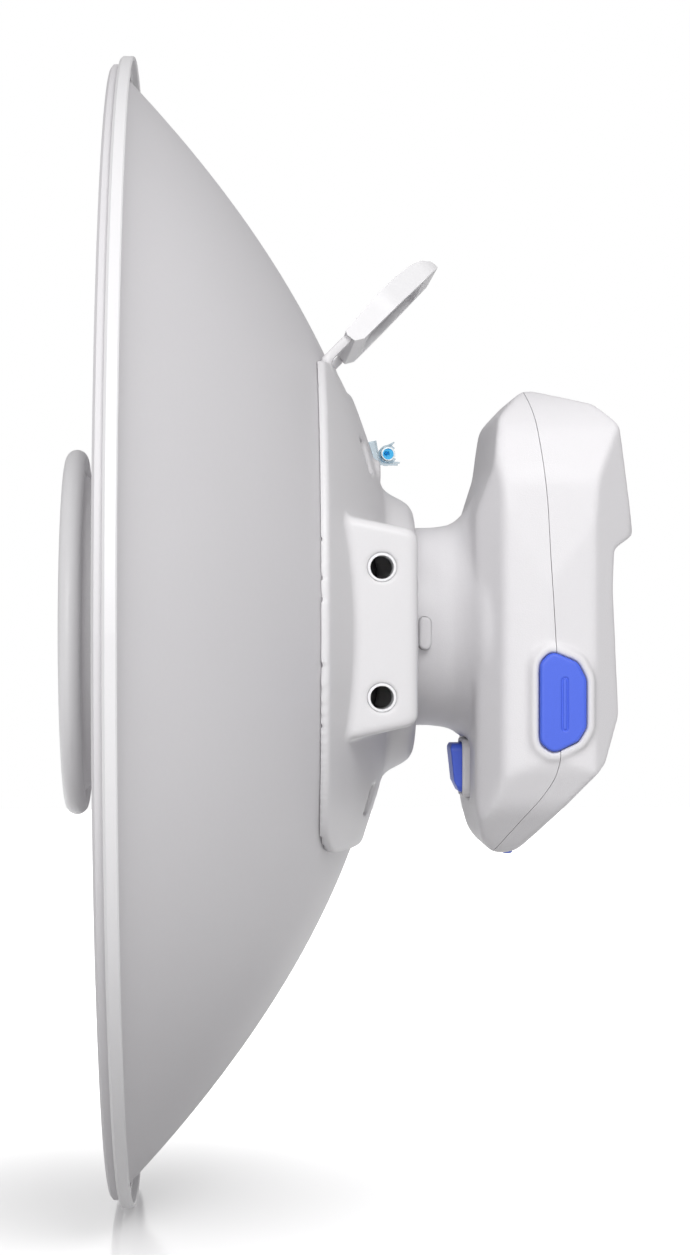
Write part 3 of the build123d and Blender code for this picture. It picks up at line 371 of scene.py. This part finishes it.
def cut_away(piece, mesh):
    """Cuts a closed mesh out of piece and bakes the result."""
    cutter = bpy.data.objects.new("cutter", mesh)
    scene.collection.objects.link(cutter)
    cut = piece.modifiers.new("cut", "BOOLEAN")
    cut.operation = "DIFFERENCE"
    cut.solver = "MANIFOLD"
    cut.object = cutter
    baked(piece)
    bpy.data.objects.remove(cutter)


def seam_side(line, shift, away_y):
    """Solid from the parting line to away_y, for cutting."""
    ring = [(y + shift, z) for y, z in line] + [(away_y, line[-1][1]), (away_y, line[0][1])]
    return prism("seam_side", [[(x, y, z) for y, z in ring] for x in (-SEAM_HALF_WIDTH, SEAM_HALF_WIDTH)])


# The release button's opening in the neck, in millimetres.
NECK_RADIUS = 36.0
NECK_WALL = 2.6
NECK_CENTRE_Z = 2.0
BUTTON_PLACE = (17.6, -0.4)
BUTTON_HALF = (2.3, 5.9)
BUTTON_CORNER = 2.2
BUTTON_GAP = 0.12
BUTTON_CUT_X = (31.0, 40.0)
CORNER_STEPS = 6
PATCH_HALF_Y = 4.0
PATCH_ANGLES = range(-22, 19, 4)  # degrees round the neck's axis, from +X


def neck_patch():
    """Piece of the neck's wall that fills the button's opening until it is cut cleanly."""
    ends = (BUTTON_PLACE[0] - PATCH_HALF_Y, BUTTON_PLACE[0] + PATCH_HALF_Y)
    angles = [math.radians(a) for a in PATCH_ANGLES]
    profile = [(NECK_RADIUS, a) for a in angles] + [(NECK_RADIUS - NECK_WALL, a) for a in reversed(angles)]
    ring = [(r * math.cos(a), NECK_CENTRE_Z + r * math.sin(a)) for r, a in profile]
    return prism("patch", [[(x, y, z) for x, z in ring] for y in ends])


def button_opening():
    """Rounded prism a little larger than the button."""
    radius = BUTTON_CORNER + BUTTON_GAP
    half_y, half_z = (h + BUTTON_GAP - radius for h in BUTTON_HALF)
    ring = []
    for sy, sz, start in ((1, 1, 0), (-1, 1, 90), (-1, -1, 180), (1, -1, 270)):
        for step in range(CORNER_STEPS + 1):
            a = math.radians(start + 90 * step / CORNER_STEPS)
            y = BUTTON_PLACE[0] + sy * half_y + radius * math.cos(a)
            z = BUTTON_PLACE[1] + sz * half_z + radius * math.sin(a)
            ring.append((y, z))
    return prism("opening", [[(x, y, z) for y, z in ring] for x in BUTTON_CUT_X])


def front_softness(x, y, z):
    """Strength of the body's extra softening, which is full between the two fades."""
    rising = (y - FRONT_FADE_IN[0]) / (FRONT_FADE_IN[1] - FRONT_FADE_IN[0])
    falling = (FRONT_FADE_OUT[1] - y) / (FRONT_FADE_OUT[1] - FRONT_FADE_OUT[0])
    return min(1.0, falling) * min(1.0, rising)


def make_radio():
    """Both shells: one body, softened all over and more so at its front, then cut along the line."""
    line = seam_line()
    whole = bmesh.new()
    whole.from_mesh(NODES["radio_front_shell"].data)
    rear = NODES["radio_rear_shell"].data.copy()
    for v in rear.vertices:
        if abs(v.co.y / MM - seam_y(v.co.z / MM, line)) < SEAM_EDGE:
            v.co.y -= SEAM_CLOSING * MM
    whole.from_mesh(rear)
    whole.from_mesh(neck_patch())
    mesh = bpy.data.meshes.new("radio_body")
    whole.to_mesh(mesh)
    whole.free()
    body = remeshed("radio_body", mesh, BODY_VOXEL)
    weigh(body, "front", front_softness)
    add_smooth(body, BODY_ROUNDS)
    add_smooth(body, FRONT_ROUNDS, "front")
    baked(body)
    cut_away(body, button_opening())
    cuts = (
        ("radio_front_shell", -SEAM_GAP, BEHIND_BODY_Y),
        ("radio_rear_shell", SEAM_GAP, BEFORE_BODY_Y),
    )
    for node, shift, away_y in cuts:
        piece = bpy.data.objects.new(node + "_moulding", body.data.copy())
        scene.collection.objects.link(piece)
        cut_away(piece, seam_side(line, shift, away_y))
        finish_piece(piece, node)
    bpy.data.objects.remove(body)


# ---------------------------------------------------------------- stage and light
FLOOR_Z = -0.2066
FLOOR_HALF = 2.5
# Where the rim meets the floor, and the centre of the floor's painted shadow.
RIM_FOOT_Y = -0.089
FLOOR_ROUGHNESS = (0.12, 0.15)
PAINTED_SHADOW_REACH = 0.36  # metres from the rim's foot to where the floor's painted shadow ends and the floor is as bright as the backdrop
PAINTED_SHADOW_GLOW = 0.05  # how much the floor glows at the rim's foot, where its dimmed glow is a painted shadow
CARD_X = -0.7
CARD_HALF = 1.5
CARD_TOP_Z = -0.05
FILL_HEIGHTS = (-0.6, 0.7)  # the room's light runs between these two directions' heights
FILL_LEVELS = (0.44, 0.49)
# The softboxes: name, place, side length in metres and power in watts.
SOFTBOXES = (
    ("top_box", (0.35, 0.0, 1.1), 1.1, 0.8),
    ("left_box", (1.5, -0.45, 0.45), 0.7, 10),
    ("key_box", (1.35, 0.3, 1.0), 0.6, 13),
)


def make_floor():
    """A pale floor as bright as the backdrop, whose glow dims near the rim's foot: a painted shadow there, on
    top of the real shadow, so that shadow and sheen show.
    """
    mesh = bpy.data.meshes.new("floor")
    h = FLOOR_HALF
    corners = [(-h, -h, FLOOR_Z), (h, -h, FLOOR_Z), (h, h, FLOOR_Z), (-h, h, FLOOR_Z)]
    mesh.from_pydata(corners, [], [(0, 1, 2, 3)])
    floor = bpy.data.objects.new("floor", mesh)
    scene.collection.objects.link(floor)
    floor.visible_diffuse = False  # the studio's floor lies in its own light and throws none up
    mat, tree, main = shader("floor_paint")
    worn = object_noise(tree, 3, 2)
    tree.links.new(spread(tree, worn.outputs["Fac"], *FLOOR_ROUGHNESS), main.inputs["Roughness"])
    main.inputs["Base Color"].default_value = (0.92, 0.92, 0.92, 1)
    main.inputs["Emission Color"].default_value = (1, 1, 1, 1)
    place = tree.nodes.new("ShaderNodeTexCoord")
    away = tree.nodes.new("ShaderNodeVectorMath")
    away.operation = "DISTANCE"
    away.inputs[1].default_value = (0, RIM_FOOT_Y, FLOOR_Z)
    tree.links.new(place.outputs["Object"], away.inputs[0])
    # Painted shadow: the floor's glow dims towards the rim's foot, which darkens the floor under the dish.
    painted_shadow_fade = tree.nodes.new("ShaderNodeMapRange")
    painted_shadow_fade.interpolation_type = "SMOOTHSTEP"
    painted_shadow_fade.inputs["From Min"].default_value = 0.0
    painted_shadow_fade.inputs["From Max"].default_value = PAINTED_SHADOW_REACH
    painted_shadow_fade.inputs["To Min"].default_value = PAINTED_SHADOW_GLOW
    painted_shadow_fade.inputs["To Max"].default_value = 1.0
    tree.links.new(away.outputs["Value"], painted_shadow_fade.inputs["Value"])
    tree.links.new(painted_shadow_fade.outputs["Result"], main.inputs["Emission Strength"])
    mesh.materials.append(mat)


def make_card():
    """Low white card behind the rim's foot, seen only in the floor's sheen."""
    ends = ((-CARD_HALF, FLOOR_Z), (CARD_HALF, FLOOR_Z), (CARD_HALF, CARD_TOP_Z), (-CARD_HALF, CARD_TOP_Z))
    mesh = bpy.data.meshes.new("card")
    mesh.from_pydata([(CARD_X, y, z) for y, z in ends], [], [(0, 1, 2, 3)])
    card = bpy.data.objects.new("card", mesh)
    scene.collection.objects.link(card)
    card.visible_camera = False
    card.visible_diffuse = False
    card.visible_shadow = False
    card.visible_transmission = False
    mat, tree, main = shader("card_paper")
    fibre = object_noise(tree, 8, 2)
    white = tint(tree, fibre.outputs["Fac"], (0.97, 0.97, 0.97), (1, 1, 1))
    tree.links.new(white, main.inputs["Emission Color"])
    main.inputs["Base Color"].default_value = (0, 0, 0, 1)
    main.inputs["Emission Strength"].default_value = 1.0
    mesh.materials.append(mat)


def softbox(name, place, side, watts):
    """A square area light that faces the object."""
    data = bpy.data.lights.new(name, "AREA")
    data.shape = "RECTANGLE"
    data.size = side
    data.size_y = side
    data.energy = watts
    lamp = bpy.data.objects.new(name, data)
    scene.collection.objects.link(lamp)
    lamp.location = place
    lamp.rotation_euler = (-Vector(place)).to_track_quat("-Z", "Y").to_euler()


def make_light():
    """An even room, a little brighter above, that looks white from the camera, and three softboxes."""
    world = bpy.data.worlds.new("studio")
    scene.world = world
    world.use_nodes = True
    tree = world.node_tree
    tree.nodes.clear()
    out = tree.nodes.new("ShaderNodeOutputWorld")
    where = tree.nodes.new("ShaderNodeTexCoord")
    height = tree.nodes.new("ShaderNodeSeparateXYZ")
    tree.links.new(where.outputs["Generated"], height.inputs[0])
    level = tree.nodes.new("ShaderNodeMapRange")
    level.inputs["From Min"].default_value = FILL_HEIGHTS[0]
    level.inputs["From Max"].default_value = FILL_HEIGHTS[1]
    level.inputs["To Min"].default_value = FILL_LEVELS[0]
    level.inputs["To Max"].default_value = FILL_LEVELS[1]
    tree.links.new(height.outputs["Z"], level.inputs["Value"])
    fill = tree.nodes.new("ShaderNodeBackground")
    fill.inputs["Color"].default_value = (1, 0.99, 1, 1)
    tree.links.new(level.outputs["Result"], fill.inputs["Strength"])
    backdrop = tree.nodes.new("ShaderNodeBackground")
    backdrop.inputs["Color"].default_value = (1, 1, 1, 1)
    backdrop.inputs["Strength"].default_value = 1.0
    path = tree.nodes.new("ShaderNodeLightPath")
    straight = tree.nodes.new("ShaderNodeMath")
    straight.operation = "MAXIMUM"
    tree.links.new(path.outputs["Is Camera Ray"], straight.inputs[0])
    tree.links.new(path.outputs["Is Transmission Ray"], straight.inputs[1])
    mix = tree.nodes.new("ShaderNodeMixShader")
    tree.links.new(straight.outputs[0], mix.inputs["Fac"])
    tree.links.new(fill.outputs[0], mix.inputs[1])
    tree.links.new(backdrop.outputs[0], mix.inputs[2])
    tree.links.new(mix.outputs[0], out.inputs["Surface"])
    for name, place, side, watts in SOFTBOXES:
        softbox(name, place, side, watts)
    scene.view_settings.view_transform = "Standard"


make_camera()
for node, obj in NODES.items():
    dress(obj, SLOT_OF[node])
make_radio()
softened("mount_housing", HOUSING_VOXEL, HOUSING_ROUNDS, housing_softness)
for node, voxel, rounds in SMALL_MOULDINGS:
    softened(node, voxel, rounds)
make_floor()
make_card()
make_light()
